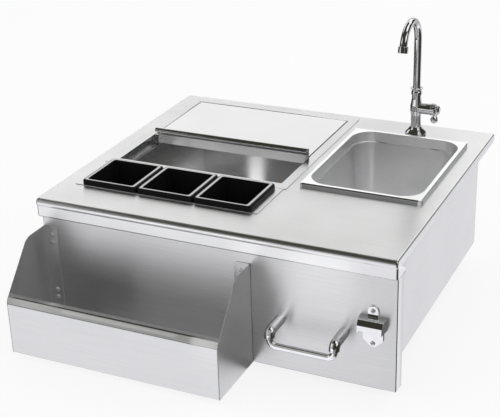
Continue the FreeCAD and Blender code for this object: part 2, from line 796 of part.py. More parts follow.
def tap_body():
    """The column with its side outlet for the valve and its socket for the spout."""
    z0 = top_z + bell_height
    foot = V(tap_x, tap_y, z0)
    height = column_top - bell_height
    column = turned([(0, 0), (column_radius, 0), (column_radius, column_straight - bell_height),
                     (valve_bulge_radius, valve_height - valve_bulge - bell_height),
                     (valve_bulge_radius, valve_height + valve_bulge - bell_height),
                     (neck_radius, neck_start - bell_height), (neck_radius, height), (0, height)], foot)
    barrel = rod(V(tap_x, tap_y, z_valve), X, barrel_radius, barrel_reach)
    shape = fused(column, barrel)
    shape = shape.cut(rod(foot, Z, waterway_radius, height))
    shape = shape.cut(rod(foot, Z, spigot_radius, spigot_length))
    bore_start = tap_x + barrel_reach - cartridge_depth
    shape = shape.cut(rod(V(bore_start, tap_y, z_valve), X, cartridge_radius, cartridge_depth))
    seat = V(tap_x, tap_y, z_column - socket_depth)
    shape = shape.cut(rod(seat, Z, spout_radius + running_gap, socket_depth))
    return shape.cut(rod(seat - Z * seal_section, Z, spout_radius, seal_section))


def tap_shank():
    """The threaded tube under the column, stepped down to a spigot that screws into it."""
    z0 = top_z - shank_reach
    length = shank_reach + bell_height
    thread = rod(V(tap_x, tap_y, z0), Z, shank_radius, length)
    z_groove = under_z - washer - tap_nut_height - shank_groove_drop - shank_groove
    thread = thread.cut(tube(V(tap_x, tap_y, z_groove), Z, shank_radius, shank_groove_radius,
                             shank_groove))
    spigot = rod(V(tap_x, tap_y, z0 + length), Z, spigot_radius, spigot_length)
    return fused(thread, spigot).cut(rod(V(tap_x, tap_y, z0), Z, waterway_radius,
                                         length + spigot_length))


def tap_washer():
    return tube(V(tap_x, tap_y, under_z - washer), Z, tap_washer_radius, shank_radius, washer)


def tap_nut():
    z1 = under_z - washer
    return hexagon(V(tap_x, tap_y, z1 - tap_nut_height), Z, tap_nut_radius, tap_nut_height,
                   shank_radius)


def tap_collar():
    """The ringed nut that keeps the spout in its socket and lets it swivel."""
    ring_low = collar_height - collar_ring
    nut = turned([(0, 0), (collar_radius, 0), (collar_radius, collar_skirt),
                  (neck_radius, collar_waist), (neck_radius, ring_low),
                  (collar_ring_radius, ring_low + collar_bevel),
                  (collar_ring_radius, collar_height - collar_bevel), (neck_radius, collar_height),
                  (0, collar_height)], V(tap_x, tap_y, z_column))
    return nut.cut(rod(V(tap_x, tap_y, z_column), Z, spout_radius + running_gap, collar_height))


def gooseneck_end():
    """The point and direction at which the spout's bend ends."""
    centre = V(tap_x, tap_y - spout_bend, top_z + spout_straight)
    turn = math.radians(spout_turn)
    point = centre + V(0, spout_bend * math.cos(turn), spout_bend * math.sin(turn))
    return point, V(0, -math.sin(turn), math.cos(turn))


def spout_pipe():
    """An upright pipe that bends over towards the bowl."""
    z0 = z_column - socket_depth
    z1 = top_z + spout_straight
    start = V(tap_x, tap_y, z1)
    centre = V(tap_x, tap_y - spout_bend, z1)
    point, direction = gooseneck_end()
    shapes = []
    for radius in (spout_radius, spout_bore):
        upright = rod(V(tap_x, tap_y, z0), Z, radius, z1 - z0)
        bend = bent_rod(centre, radius, start, X, spout_turn)
        shapes.append(fused(upright, bend, rod(point, direction, radius, spout_stub)))
    return shapes[0].cut(shapes[1])


def spout_aerator():
    point, direction = gooseneck_end()
    shell = rod(point, direction, aerator_radius, aerator_length)
    shell = shell.cut(rod(point, direction, spout_radius, spout_stub))
    return shell.cut(rod(point, direction, spout_bore, aerator_length))


def aerator_screen():
    """The perforated disc just inside the aerator's mouth."""
    point, direction = gooseneck_end()
    place = point + direction * (aerator_length - screen_inset - screen_thickness)
    disc = Part.makeCylinder(spout_bore, screen_thickness)
    for k in range(screen_holes):
        turn = math.radians(360 / screen_holes * k)
        hole = V(screen_ring * math.cos(turn), screen_ring * math.sin(turn), 0)
        disc = disc.cut(Part.makeCylinder(screen_hole_radius, screen_thickness, hole))
    disc = disc.cut(Part.makeCylinder(screen_hole_radius, screen_thickness))
    disc.Placement = FreeCAD.Placement(place, FreeCAD.Rotation(Z, direction))
    return disc


def spout_seal():
    """The ring that seals the spout on the floor of its socket."""
    z0 = z_column - socket_depth - seal_section
    return tube(V(tap_x, tap_y, z0), Z, spout_radius, waterway_radius, seal_section)


def valve_cartridge():
    start = tap_x + barrel_reach - cartridge_depth
    body = rod(V(start, tap_y, z_valve), X, cartridge_radius, cartridge_depth)
    depth = stem_depth + stem_end_gap
    socket = rod(V(tap_x + barrel_reach - depth, tap_y, z_valve), X, stem_radius + running_gap, depth)
    return body.cut(socket)


def valve_cap():
    """The grooved ring that screws onto the barrel and holds the cartridge."""
    start = tap_x + barrel_reach
    ring = rod(V(start, tap_y, z_valve), X, cap_radius, cap_length)
    for k in range(cap_grooves):
        turn = math.radians(360 / cap_grooves * k)
        place = V(start, tap_y + cap_radius * math.cos(turn), z_valve + cap_radius * math.sin(turn))
        ring = ring.cut(rod(place, X, cap_groove_radius, cap_length))
    return ring.cut(rod(V(start, tap_y, z_valve), X, stem_radius + running_gap, cap_length))


def hub_start():
    return tap_x + barrel_reach + cap_length + hub_gap


def hub_dome_shape():
    """The handle's domed hub without its stem."""
    return turned([(0, 0), (hub_foot_radius, 0), (hub_radius, hub_foot), (hub_radius, hub_shoulder),
                   (hub_dome_radius, hub_dome), (hub_tip_radius, hub_length), (0, hub_length)],
                  V(hub_start(), tap_y, z_valve), X)


def valve_hub():
    """The handle's hub with its stem in the cartridge."""
    stem_end = tap_x + barrel_reach - stem_depth
    stem = rod(V(stem_end, tap_y, z_valve), X, stem_radius, hub_start() - stem_end)
    return fused(stem, hub_dome_shape())


def valve_lever():
    """A tapered lever with a ball at its end, which droops towards the front when shut."""
    droop = math.radians(lever_droop)
    along = V(0, -math.cos(droop), -math.sin(droop))
    root = V(hub_start() + lever_seat, tap_y, z_valve)
    arm = Part.makeCone(lever_root_radius, lever_tip_radius, lever_length, root, along)
    ball = Part.makeSphere(ball_radius, root + along * lever_length)
    return fused(arm, ball).cut(hub_dome_shape())


def folded_sheet(points, x0, x1):
    """A sheet bent along (y, z) points, with its thickness to the right of the way along them."""
    ways = [(b[0] - a[0], b[1] - a[1]) for a, b in zip(points[:-1], points[1:])]
    normals = [(dz / math.hypot(dy, dz), -dy / math.hypot(dy, dz)) for dy, dz in ways]
    inside = []
    for k, point in enumerate(points):
        one, two = normals[max(k - 1, 0)], normals[min(k, len(normals) - 1)]
        grow = sheet / (1 + one[0] * two[0] + one[1] * two[1])
        inside.append((point[0] + grow * (one[0] + two[0]), point[1] + grow * (one[1] + two[1])))
    return profile_along_x(list(points) + inside[::-1], x0, x1)


def rail_trough():
    """Floor, front wall and folded lip of the bottle rail, from one sheet."""
    x0, x1 = rail_x0 + sheet, rail_x1 - sheet
    z_bend = z_panel + rail_height
    z_lip = z_bend + rail_lip_rise
    y_lip = rail_y0 + rail_lip_run
    trough = folded_sheet([(y_panel, z_panel), (rail_y0, z_panel), (rail_y0, z_bend), (y_lip, z_lip),
                           (y_lip + rail_lip_flat, z_lip)], x0, x1)
    back = block(x0 + rail_end_flange, x1 - rail_end_flange, y_panel - sheet, y_panel, z_panel,
                 z_panel + rail_back_height)
    return fused(trough, back)


def rail_end(side):
    """One end of the rail; side is -1 for the left end and 1 for the right."""
    x = rail_x0 if side < 0 else rail_x1 - sheet
    z1 = z_panel + rail_end_height
    z_slope = z_panel + rail_height + rail_front_rise
    y_slope = y_panel - rail_shoulder
    wall = profile_along_x([(y_panel, z_panel), (y_panel, z1), (y_slope, z1), (rail_y0, z_slope),
                            (rail_y0, z_panel)], x, x + sheet)
    wall = wall.makeFillet(rail_shoulder_radius, edges_at(wall, y=y_slope, z=z1))
    wall = wall.makeFillet(rail_front_radius, edges_at(wall, y=rail_y0, z=z_slope))
    inner = x + sheet if side < 0 else x - rail_end_flange
    free_edge = inner + rail_end_flange if side < 0 else inner
    flange = block(inner, inner + rail_end_flange, y_panel - sheet, y_panel, z_panel + sheet, z1)
    flange = flange.makeFillet(rail_flange_corner, edges_at(flange, x=free_edge, z=z1))
    shape = fused(wall, flange)
    for place in rail_screw_places(side):
        shape = shape.cut(rod(place, Y, screw_radius, sheet))
    return shape


def edges_at(shape, x=None, y=None, z=None):
    """The edges of a shape that lie wholly at the given coordinates."""
    found = []
    for edge in shape.Edges:
        box = edge.BoundBox
        spans = ((x, box.XMin, box.XMax), (y, box.YMin, box.YMax), (z, box.ZMin, box.ZMax))
        if all(want is None or max(abs(low - want), abs(high - want)) < hair
               for want, low, high in spans):
            found.append(edge)
    return found


def rail_screw_places(side):
    x = rail_x0 + screw_inset if side < 0 else rail_x1 - screw_inset
    z1 = z_panel + rail_end_height
    return [V(x, y_panel - sheet, z1 - drop) for drop in screw_drops]


def screw(seat):
    """A domed screw whose head sits on seat and whose shank runs backwards."""
    shank = rod(seat, Y, screw_radius, screw_length)
    dome = turned([(0, 0), (screw_head_radius, 0), (screw_head_radius, screw_head_edge),
                   (screw_dome_radius, screw_head_height), (0, screw_head_height)], seat, Y * -1)
    return fused(dome, shank)


def rail_screws():
    return Part.Compound([screw(place) for place in rail_screw_places(-1) + rail_screw_places(1)])


def towel_bar_feet():
    z = top_z - bar_depth_down
    return [(bar_x - bar_span / 2, z), (bar_x + bar_span / 2, z)]


def towel_bar():
    """A cranked bar: two thick legs come out, turn down and taper into a thinner grip."""
    y_leg = y_panel - bar_reach
    shapes = []
    for (x, z), side in zip(towel_bar_feet(), (-1, 1)):
        z_grip = z - bar_drop
        z_cone, z_low = z - bar_leg_bend, z_grip + bar_grip_bend
        x_grip = x - side * bar_grip_bend
        shapes.append(rod(V(x, y_panel, z), Y * -1, bar_leg_radius, bar_reach - bar_leg_bend))
        shapes.append(bent_rod(V(x, y_leg + bar_leg_bend, z_cone), bar_leg_radius,
                               V(x, y_leg + bar_leg_bend, z), X, 90))
        shapes.append(Part.makeCone(bar_leg_radius, bar_grip_radius, z_cone - z_low,
                                    V(x, y_leg, z_cone), Z * -1))
        shapes.append(bent_rod(V(x_grip, y_leg, z_low), bar_grip_radius, V(x, y_leg, z_low),
                               Y * side, 90))
        shapes.append(rod(V(x_grip, y_leg, z_grip), X * -side, bar_grip_radius,
                          bar_span / 2 - bar_grip_bend))
    shape = fused(*shapes)
    for x, z in towel_bar_feet():
        shape = shape.cut(rod(V(x, y_panel - bar_bolt_depth, z), Y, bar_bolt_radius, bar_bolt_depth))
    return shape


def towel_bar_bolts():
    shapes = []
    for x, z in towel_bar_feet():
        seat = V(x, y_panel_back, z)
        shank = rod(seat, Y * -1, bar_bolt_radius, bar_bolt_depth + sheet)
        head = rod(seat, Y, bar_bolt_head_radius, bar_bolt_head)
        shapes.append(fused(shank, head))
    return Part.Compound(shapes)


def opener_screw_places():
    return [V(opener_x, y_panel - opener_plate, top_z - down)
            for down in (opener_screw_upper, opener_screw_lower)]


def hood_block(inset):
    """The hood's outer block, or with inset its hollow; it narrows towards its lip."""
    x, y_lip = opener_x, y_panel - opener_hood_reach + inset
    z_top, z_low = top_z - opener_hood_top - inset, top_z - opener_hood_top - opener_hood_height
    half_root, half_lip = opener_hood_width / 2 - inset, opener_lip_width / 2 - inset
    bottom = z_low - opener_cheek_drop - inset
    corners = [V(x - half_root, y_panel, bottom), V(x - half_lip, y_lip, bottom),
               V(x + half_lip, y_lip, bottom), V(x + half_root, y_panel, bottom)]
    plan = Part.Face(Part.makePolygon(corners + [corners[0]])).extrude(Z * (z_top - bottom))
    side = block(x - half_root, x + half_root, y_lip, y_panel, bottom, z_top)
    side = side.makeFillet(opener_hood_bend - inset, edges_at(side, y=y_lip, z=z_top))
    return plan.common(side)


def bottle_opener():
    """A cast plate with a hood whose lower lip lifts the crown cap."""
    x, y0 = opener_x, y_panel - opener_plate
    z_tab, z_hood = top_z - opener_top - opener_tab_radius, top_z - opener_hood_top
    z_low = z_hood - opener_hood_height
    radius = opener_tab_radius
    tab = fused(rod(V(x, y0, z_tab), Y, radius, opener_plate),
                block(x - radius, x + radius, y0, y_panel, z_low, z_tab))
    half, tip = opener_shield_width / 2, opener_tip_width / 2
    z_shoulder, z_tip = top_z - opener_shield_shoulder, top_z - opener_shield_end
    corners = [V(x - half, y0, z_hood - opener_plate), V(x + half, y0, z_hood - opener_plate),
               V(x + half, y0, z_shoulder), V(x + tip, y0, z_tip), V(x - tip, y0, z_tip),
               V(x - half, y0, z_shoulder)]
    shield = Part.Face(Part.makePolygon(corners + [corners[0]])).extrude(Y * opener_plate)
    rounded = [edge for edge in shield.Edges
               if edge.BoundBox.YLength > opener_plate / 2 and edge.BoundBox.ZMax < z_low]
    shield = shield.makeFillet(opener_shield_radius, rounded)
    y_lip = y_panel - opener_hood_reach
    mouth = block(x - half, x + half, y_lip, y_lip + opener_wall, z_low - opener_cheek_drop, z_low)
    hollow = hood_block(opener_wall).cut(block(x - opener_hood_width, x + opener_hood_width, y0,
                                               y_panel, z_tip, z_hood))
    shape = fused(tab, shield, hood_block(0)).cut(hollow).cut(mouth)
    for place in opener_screw_places():
        shape = shape.cut(rod(place, Y, screw_radius, opener_plate))
    return shape


def opener_screws():
    return Part.Compound([screw(place) for place in opener_screw_places()])


def main():
    os.makedirs("parts", exist_ok=True)
    save("countertop", countertop())
    save("front_panel", front_panel())
    save("side_panel_left", side_panel(-1))
    save("side_panel_right", side_panel(1))
    save("back_panel", back_panel())
    save("divider_panel", divider_panel())
    save("bottom_panel", bottom_panel())
    save("bin_liner", bin_liner())
    save("bin_insulation", bin_insulation())
    save("bin_jacket", bin_jacket())
    save("bin_drain_fitting", bin_drain_fitting())
    save("bin_drain_washer", bin_drain_washer())
    save("bin_drain_nut", bin_drain_nut())
    save("lid_panel", lid_panel())
    save("lid_front", lid_front())
    save("lid_glides", lid_glides())
    save("condiment_holder", condiment_holder())
    for number, x in enumerate(insert_places(), 1):
        save("condiment_insert_" + str(number), condiment_insert(x))
    save("sink_bowl", sink_bowl())
    save("sink_clips", sink_clips())
    save("drain_body", drain_body())
    save("drain_gasket", drain_gasket())
    save("drain_locknut", drain_locknut())
    save("drain_slip_nut", drain_slip_nut())
    save("drain_tailpiece", drain_tailpiece())
    save("strainer_basket", strainer_basket())
    save("tap_seal", tap_seal())
    save("tap_base", tap_base())
    save("tap_body", tap_body())
    save("tap_shank", tap_shank())
    save("tap_washer", tap_washer())
    save("tap_nut", tap_nut())
    save("tap_collar", tap_collar())
    save("spout_pipe", spout_pipe())
    save("spout_aerator", spout_aerator())
    save("aerator_screen", aerator_screen())
    save("spout_seal", spout_seal())
    save("valve_cartridge", valve_cartridge())
    save("valve_cap", valve_cap())
    save("valve_hub", valve_hub())
    save("valve_lever", valve_lever())
    save("rail_trough", rail_trough())
    save("rail_end_left", rail_end(-1))
    save("rail_end_right", rail_end(1))
    save("rail_screws", rail_screws())
    save("towel_bar", towel_bar())
    save("towel_bar_bolts", towel_bar_bolts())
    save("bottle_opener", bottle_opener())
    save("opener_screws", opener_screws())


main()
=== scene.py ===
import json
import math

import bmesh
import bpy
from mathutils import Matrix, Quaternion, Vector

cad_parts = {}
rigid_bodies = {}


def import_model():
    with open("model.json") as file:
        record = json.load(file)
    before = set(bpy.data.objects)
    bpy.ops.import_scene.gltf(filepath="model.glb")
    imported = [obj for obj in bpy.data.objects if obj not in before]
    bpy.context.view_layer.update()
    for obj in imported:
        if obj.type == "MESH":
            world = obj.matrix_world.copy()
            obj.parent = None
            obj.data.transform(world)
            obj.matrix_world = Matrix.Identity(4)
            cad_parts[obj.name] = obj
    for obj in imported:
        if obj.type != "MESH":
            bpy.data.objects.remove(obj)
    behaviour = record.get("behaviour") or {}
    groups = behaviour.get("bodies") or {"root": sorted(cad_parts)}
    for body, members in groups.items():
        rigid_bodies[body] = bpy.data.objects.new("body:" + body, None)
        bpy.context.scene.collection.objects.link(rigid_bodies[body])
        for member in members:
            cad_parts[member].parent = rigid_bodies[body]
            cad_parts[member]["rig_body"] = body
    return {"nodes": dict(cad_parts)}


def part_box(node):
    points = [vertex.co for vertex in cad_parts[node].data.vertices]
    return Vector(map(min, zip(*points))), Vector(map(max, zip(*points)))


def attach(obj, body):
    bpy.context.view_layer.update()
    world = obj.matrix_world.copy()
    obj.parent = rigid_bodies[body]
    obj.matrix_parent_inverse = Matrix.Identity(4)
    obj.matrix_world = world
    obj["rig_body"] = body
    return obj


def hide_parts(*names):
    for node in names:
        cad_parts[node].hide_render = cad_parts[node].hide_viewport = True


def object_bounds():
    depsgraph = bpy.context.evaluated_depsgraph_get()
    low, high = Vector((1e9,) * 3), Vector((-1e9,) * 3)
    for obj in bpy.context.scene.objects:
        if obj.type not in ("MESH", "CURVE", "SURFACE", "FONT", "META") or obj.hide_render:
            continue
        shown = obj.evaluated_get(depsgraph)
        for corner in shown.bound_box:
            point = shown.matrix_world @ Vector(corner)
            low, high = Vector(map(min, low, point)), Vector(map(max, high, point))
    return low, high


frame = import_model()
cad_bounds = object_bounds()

# Bar sink with an ice bin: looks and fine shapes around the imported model. Metres, +Z up.

mm = 0.001
weld = 0.002 * mm
fold_radius = 2.0 * mm
inside_radius = 0.8 * mm
rim_radius = 0.25 * mm
thick_rim_radius = 0.5 * mm       # where a cut edge shows as a light line
hem_radius = 3.0 * mm
near = 0.5 * mm                  # how close a corner lies to the side that it belongs to
strip_width = 2.2 * mm           # faces narrower than this are a sheet's cut edges
sharp = math.radians(35)
flat = math.radians(0.2)


# Camera

view_line = Vector((-0.39437, 0.81940, -0.41600))
camera_roll = math.radians(-1.906)


def add_camera():
    data = bpy.data.cameras.new("camera")
    data.sensor_width = 36
    data.lens = 86.82
    data.clip_start = 0.05
    data.clip_end = 50
    camera = bpy.data.objects.new("camera", data)
    bpy.context.scene.collection.objects.link(camera)
    camera.rotation_mode = "QUATERNION"
    camera.rotation_quaternion = (view_line.to_track_quat("-Z", "Y")
                                  @ Quaternion((0, 0, 1), camera_roll))
    camera.location = (0.9665, -2.1649, 0.9942)
    bpy.context.scene.camera = camera


# Shader building blocks

def new_group(name, inputs, outputs):
    """A shader node group; inputs are (name, type, default) and outputs (name, type)."""
    group = bpy.data.node_groups.new(name, "ShaderNodeTree")
    for label, kind, value in inputs:
        socket = group.interface.new_socket(name=label, in_out="INPUT", socket_type=kind)
        socket.default_value = value
    for label, kind in outputs:
        group.interface.new_socket(name=label, in_out="OUTPUT", socket_type=kind)
    return group, group.nodes.new("NodeGroupInput"), group.nodes.new("NodeGroupOutput")


def add_node(tree, kind, values=None, **settings):
    """A node with its settings, and with values given to its inputs by name or number."""
    node = tree.nodes.new(kind)
    for name, value in settings.items():
        setattr(node, name, value)
    for name, value in (values or {}).items():
        if isinstance(value, bpy.types.NodeSocket):
            tree.links.new(value, node.inputs[name])
        else:
            node.inputs[name].default_value = value
    return node


def math_node(tree, operation, first, second=0.0):
    return add_node(tree, "ShaderNodeMath", {0: first, 1: second}, operation=operation).outputs[0]


def spread(tree, value, low, high, from_low=0.0, from_high=1.0):
    """Maps a value from one range to another and keeps it inside."""
    values = {"Value": value, "From Min": from_low, "From Max": from_high, "To Min": low,
              "To Max": high}
    return add_node(tree, "ShaderNodeMapRange", values, clamp=True).outputs["Result"]


def mixed(tree, factor, first, second):
    """A colour between two colours."""
    node = add_node(tree, "ShaderNodeMix", data_type="RGBA")
    sockets = [socket for socket in node.inputs if socket.enabled]
    for socket, value in zip(sockets, (factor, first, second)):
        if isinstance(value, bpy.types.NodeSocket):
            tree.links.new(value, socket)
        else:
            socket.default_value = value
    return [socket for socket in node.outputs if socket.enabled][0]


def brushed_grain_group():
    """Fine parallel scratches, drawn out along one axis, with coarser streaks among them."""
    tree, source, result = new_group(
        "Brushed grain",
        [("Vector", "NodeSocketVector", (0, 0, 0)), ("Stretch", "NodeSocketVector", (60, 2500, 2500)),
         ("Coarse", "NodeSocketFloat", 0.5)],
        [("Tone", "NodeSocketFloat"), ("Height", "NodeSocketFloat")])
    fine_place = add_node(tree, "ShaderNodeVectorMath", {0: source.outputs["Vector"],
                                                         1: source.outputs["Stretch"]},
                          operation="MULTIPLY").outputs[0]
    fine = add_node(tree, "ShaderNodeTexNoise", {"Vector": fine_place, "Scale": 1.0, "Detail": 2.0})
    coarse = add_node(tree, "ShaderNodeTexNoise", {"Vector": fine_place, "Scale": 0.12,
                                                   "Detail": 3.0})
    tone = add_node(tree, "ShaderNodeMix", {0: source.outputs["Coarse"], 2: fine.outputs["Fac"],
                                            3: coarse.outputs["Fac"]}, data_type="FLOAT")
    tree.links.new(tone.outputs[0], result.inputs["Tone"])
    tree.links.new(fine.outputs["Fac"], result.inputs["Height"])
    return tree


def cloud_group():
    """Soft, large patches, for handling marks and uneven polish."""
    tree, source, result = new_group(
        "Soft patches",
        [("Vector", "NodeSocketVector", (0, 0, 0)), ("Scale", "NodeSocketFloat", 8.0)],
        [("Patch", "NodeSocketFloat")])
    noise = add_node(tree, "ShaderNodeTexNoise", {"Vector": source.outputs["Vector"],
                                                  "Scale": source.outputs["Scale"], "Detail": 4.0,
                                                  "Roughness": 0.55})
    patch = spread(tree, noise.outputs["Fac"], 0.0, 1.0, 0.35, 0.65)
    tree.links.new(patch, result.inputs["Patch"])
    return tree


grain_group = brushed_grain_group()
patch_group = cloud_group()


def start_material(name):
    material = bpy.data.materials.new(name)
    material.use_nodes = True
    tree = material.node_tree
    shader = tree.nodes["Principled BSDF"]
    place = add_node(tree, "ShaderNodeTexCoord").outputs["Object"]
    return material, tree, shader, place


def steel(name, dark, light, rough, stretch, coarse=0.5, bump=0.02, grain_line=None):
    """Brushed or satin stainless steel; dark and light are grey levels, rough a pair.

    grain_line is the way that the scratches run, where they spread reflections to their sides.
    """
    material, tree, shader, place = start_material(name)
    grain = add_node(tree, "ShaderNodeGroup")
    grain.node_tree = grain_group
    tree.links.new(place, grain.inputs["Vector"])
    grain.inputs["Stretch"].default_value = stretch
    grain.inputs["Coarse"].default_value = coarse
    patch = add_node(tree, "ShaderNodeGroup")
    patch.node_tree = patch_group
    tree.links.new(place, patch.inputs["Vector"])
    tone = spread(tree, grain.outputs["Tone"], 0.0, 1.0, 0.3, 0.7)
    colour = mixed(tree, tone, dark, light)
    tree.links.new(colour, shader.inputs["Base Color"])
    uneven = math_node(tree, "MULTIPLY", patch.outputs["Patch"], 0.3)
    total = math_node(tree, "ADD", math_node(tree, "MULTIPLY", tone, 0.7), uneven)
    tree.links.new(spread(tree, total, rough[0], rough[1]), shader.inputs["Roughness"])
    relief = add_node(tree, "ShaderNodeBump", {"Height": grain.outputs["Height"], "Strength": bump,
                                               "Distance": 0.1 * mm})
    tree.links.new(relief.outputs["Normal"], shader.inputs["Normal"])
    shader.inputs["Metallic"].default_value = 1.0
    if grain_line:
        shader.inputs["Anisotropic"].default_value = 0.8
        normal = add_node(tree, "ShaderNodeNewGeometry").outputs["Normal"]
        across = add_node(tree, "ShaderNodeVectorMath", {0: normal, 1: grain_line},
                          operation="CROSS_PRODUCT").outputs[0]
        safe = add_node(tree, "ShaderNodeVectorMath", {0: across, 1: (0.003, 0.005, 0.002)},
                        operation="ADD").outputs[0]
        tree.links.new(safe, shader.inputs["Tangent"])
    return material


def chrome(name):
    material, tree, shader, place = start_material(name)
    patch = add_node(tree, "ShaderNodeGroup", {"Scale": 40.0}, node_tree=patch_group)
    tree.links.new(place, patch.inputs["Vector"])
    colour = mixed(tree, patch.outputs["Patch"], (0.80, 0.80, 0.81, 1), (0.88, 0.88, 0.89, 1))
    # Painted dark reflection: the base colour turns near black towards grazing edges, standing for
    # dark surroundings seen there.
    facing = add_node(tree, "ShaderNodeLayerWeight", {"Blend": 0.5}).outputs["Facing"]
    rim = spread(tree, facing, 0.0, 1.0, 0.50, 0.78)
    tree.links.new(mixed(tree, rim, colour, (0.10, 0.10, 0.095, 1)), shader.inputs["Base Color"])
    tree.links.new(spread(tree, patch.outputs["Patch"], 0.04, 0.09), shader.inputs["Roughness"])
    shader.inputs["Metallic"].default_value = 1.0
    return material


def plastic(name, dark, light, rough, scale, bump, shine=0.5):
    """Moulded plastic or rubber with a fine, even texture."""
    material, tree, shader, place = start_material(name)
    shader.inputs["Specular IOR Level"].default_value = shine
    noise = add_node(tree, "ShaderNodeTexNoise", {"Vector": place, "Scale": scale, "Detail": 3.0})
    patch = add_node(tree, "ShaderNodeGroup", {"Scale": 25.0}, node_tree=patch_group)
    tree.links.new(place, patch.inputs["Vector"])
    tree.links.new(mixed(tree, noise.outputs["Fac"], dark, light), shader.inputs["Base Color"])
    tree.links.new(spread(tree, patch.outputs["Patch"], rough[0], rough[1]),
                   shader.inputs["Roughness"])
    relief = add_node(tree, "ShaderNodeBump", {"Height": noise.outputs["Fac"], "Strength": bump,
                                               "Distance": 0.2 * mm})
    tree.links.new(relief.outputs["Normal"], shader.inputs["Normal"])
    return material


def grey(level, warm=0.0):
    return (level + warm, level, level - warm, 1)


along_x = (60, 2500, 2500)
along_y = (2500, 60, 2500)
even = (1500, 1500, 1500)
x_line = (1, 0, 0)
y_line = (0, 1, 0)

materials = {
    "brushed_steel": steel("brushed_steel", grey(0.82), grey(0.90), (0.28, 0.36), along_x,
                           grain_line=x_line),
    # A darker copy of the brushed sheet for the side panels, divider and rail ends: painted shade; its
    # grain along Y is real.
    "side_steel_painted_shade": steel("side_steel_painted_shade", grey(0.66), grey(0.74), (0.30, 0.38), along_y,
                        grain_line=y_line),
    "bright_steel": steel("bright_steel", grey(0.62), grey(0.70), (0.20, 0.28), along_x,
                          grain_line=x_line),
    "satin_steel": steel("satin_steel", grey(0.82), grey(0.88), (0.32, 0.40), even, 0.3),
    # A darker copy of the brushed sheet for the front panel, set for the light on it: painted shade.
    "panel_steel": steel("panel_steel", grey(0.67), grey(0.75), (0.28, 0.36), along_x,
                         grain_line=x_line),
    "lid_steel": steel("lid_steel", grey(0.68), grey(0.74), (0.18, 0.24), along_x,
                       grain_line=x_line),
    "edge_steel": steel("edge_steel", grey(0.60), grey(0.70), (0.10, 0.16), even, 0.3, 0.01),
    # A lighter copy of satin_steel for the sink bowl, set for the light inside it: painted light.
    "bowl_steel_painted_light": steel("bowl_steel_painted_light", grey(0.88), grey(0.94), (0.30, 0.38), even, 0.3),
    # A darker copy of the brushed sheet for the rail trough: painted shade.
    "rail_steel_painted_shade": steel("rail_steel_painted_shade", grey(0.72), grey(0.80), (0.28, 0.36), along_x,
                        grain_line=x_line),
    "chrome": chrome("chrome"),
    "brass": steel("brass", (0.62, 0.43, 0.16, 1), (0.78, 0.58, 0.26, 1), (0.25, 0.38), even, 0.6),
    "rubber": plastic("rubber", grey(0.015), grey(0.03), (0.6, 0.75), 900, 0.15),
    "black_plastic": plastic("black_plastic", grey(0.006), grey(0.010), (0.22, 0.32), 1200, 0.04,
                             0.10),
    # Pale grey for the inserts' rim tops: a painted highlight.
    "rim_painted_highlight": plastic("rim_painted_highlight", grey(0.42), grey(0.52), (0.18, 0.28), 1200, 0.04),
    "white_plastic": plastic("white_plastic", grey(0.72), grey(0.80), (0.35, 0.45), 800, 0.05),
    "foam": plastic("foam", (0.72, 0.62, 0.40, 1), (0.85, 0.76, 0.52, 1), (0.8, 0.95), 500, 0.5),
}


# Mesh helpers

def merged(node):
    """A welded copy of a CAD node's mesh, with its level faces joined."""
    shape = bmesh.new()
    shape.from_mesh(frame["nodes"][node].data)
    bmesh.ops.remove_doubles(shape, verts=shape.verts, dist=weld)
    bmesh.ops.dissolve_limit(shape, angle_limit=flat, verts=shape.verts, edges=shape.edges)
    return shape


def finish_piece(shape, name, node, slot, material=None, smooth=sharp):
    """Makes an object of the mesh, gives it its material and lets it stand for its CAD node."""
    low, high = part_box(node)
    for vert in shape.verts:
        vert.co = [min(max(value, low[axis]), high[axis]) for axis, value in enumerate(vert.co)]
    mesh = bpy.data.meshes.new(name)
    shape.to_mesh(mesh)
    shape.free()
    mesh.polygons.foreach_set("use_smooth", [True] * len(mesh.polygons))
    mesh.set_sharp_from_angle(angle=smooth)
    mesh.materials.append(materials[material or slot])
    piece = bpy.data.objects.new(name, mesh)
    bpy.context.scene.collection.objects.link(piece)
    even_normals = piece.modifiers.new("even_normals", "WEIGHTED_NORMAL")
    even_normals.keep_sharp = True
    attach(piece, frame["nodes"][node]["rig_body"])
    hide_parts(node)
    return piece


def face_width(face):
    return 2 * face.calc_area() / face.calc_perimeter()


def round_edges(shape, edges, radius, segments, clamp=False, polished=True):
    """Rounds edges; bent and cut edges of sheets are polished, which is the second material."""
    made = bmesh.ops.bevel(shape, geom=edges, offset=radius, offset_type="OFFSET",
                           segments=segments, profile=0.5, affect="EDGES", material=-1,
                           clamp_overlap=clamp)["faces"]
    for face in made:
        face.material_index = 1 if polished else 0


def sharp_edges(shape, convex):
    found = []
    for edge in shape.edges:
        if len(edge.link_faces) == 2:
            angle = edge.calc_face_angle_signed(0)
            if abs(angle) > sharp and (angle > 0) == convex:
                found.append(edge)
    return found


def is_fold(edge):
    return min(face_width(face) for face in edge.link_faces) > strip_width


def folded(node, slot, material=None, outer=fold_radius, inner=inside_radius, extra=None,
           rim=rim_radius):
    """A sheet-metal node with bend radii at its folds and slightly rounded cut edges."""
    shape = merged(node)
    outside = [edge for edge in sharp_edges(shape, True) if is_fold(edge) or (extra and extra(edge))]
    round_edges(shape, outside, outer, 4)
    inside = [edge for edge in sharp_edges(shape, False) if is_fold(edge)]
    round_edges(shape, inside, inner, 2, polished=False)
    round_edges(shape, sharp_edges(shape, True), rim, 3)
    piece = finish_piece(shape, node + "_sheet", node, slot, material)
    piece.data.materials.append(materials["edge_steel"])
    return piece


def at_side(edge):
    """True for the edges on the countertop's left and right faces, round its nose."""
    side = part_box("countertop")[1][0] - 0.1 * mm
    return (min(abs(vert.co.x) for vert in edge.verts) > side
            and max(vert.co.z for vert in edge.verts) > 1.0 * mm)


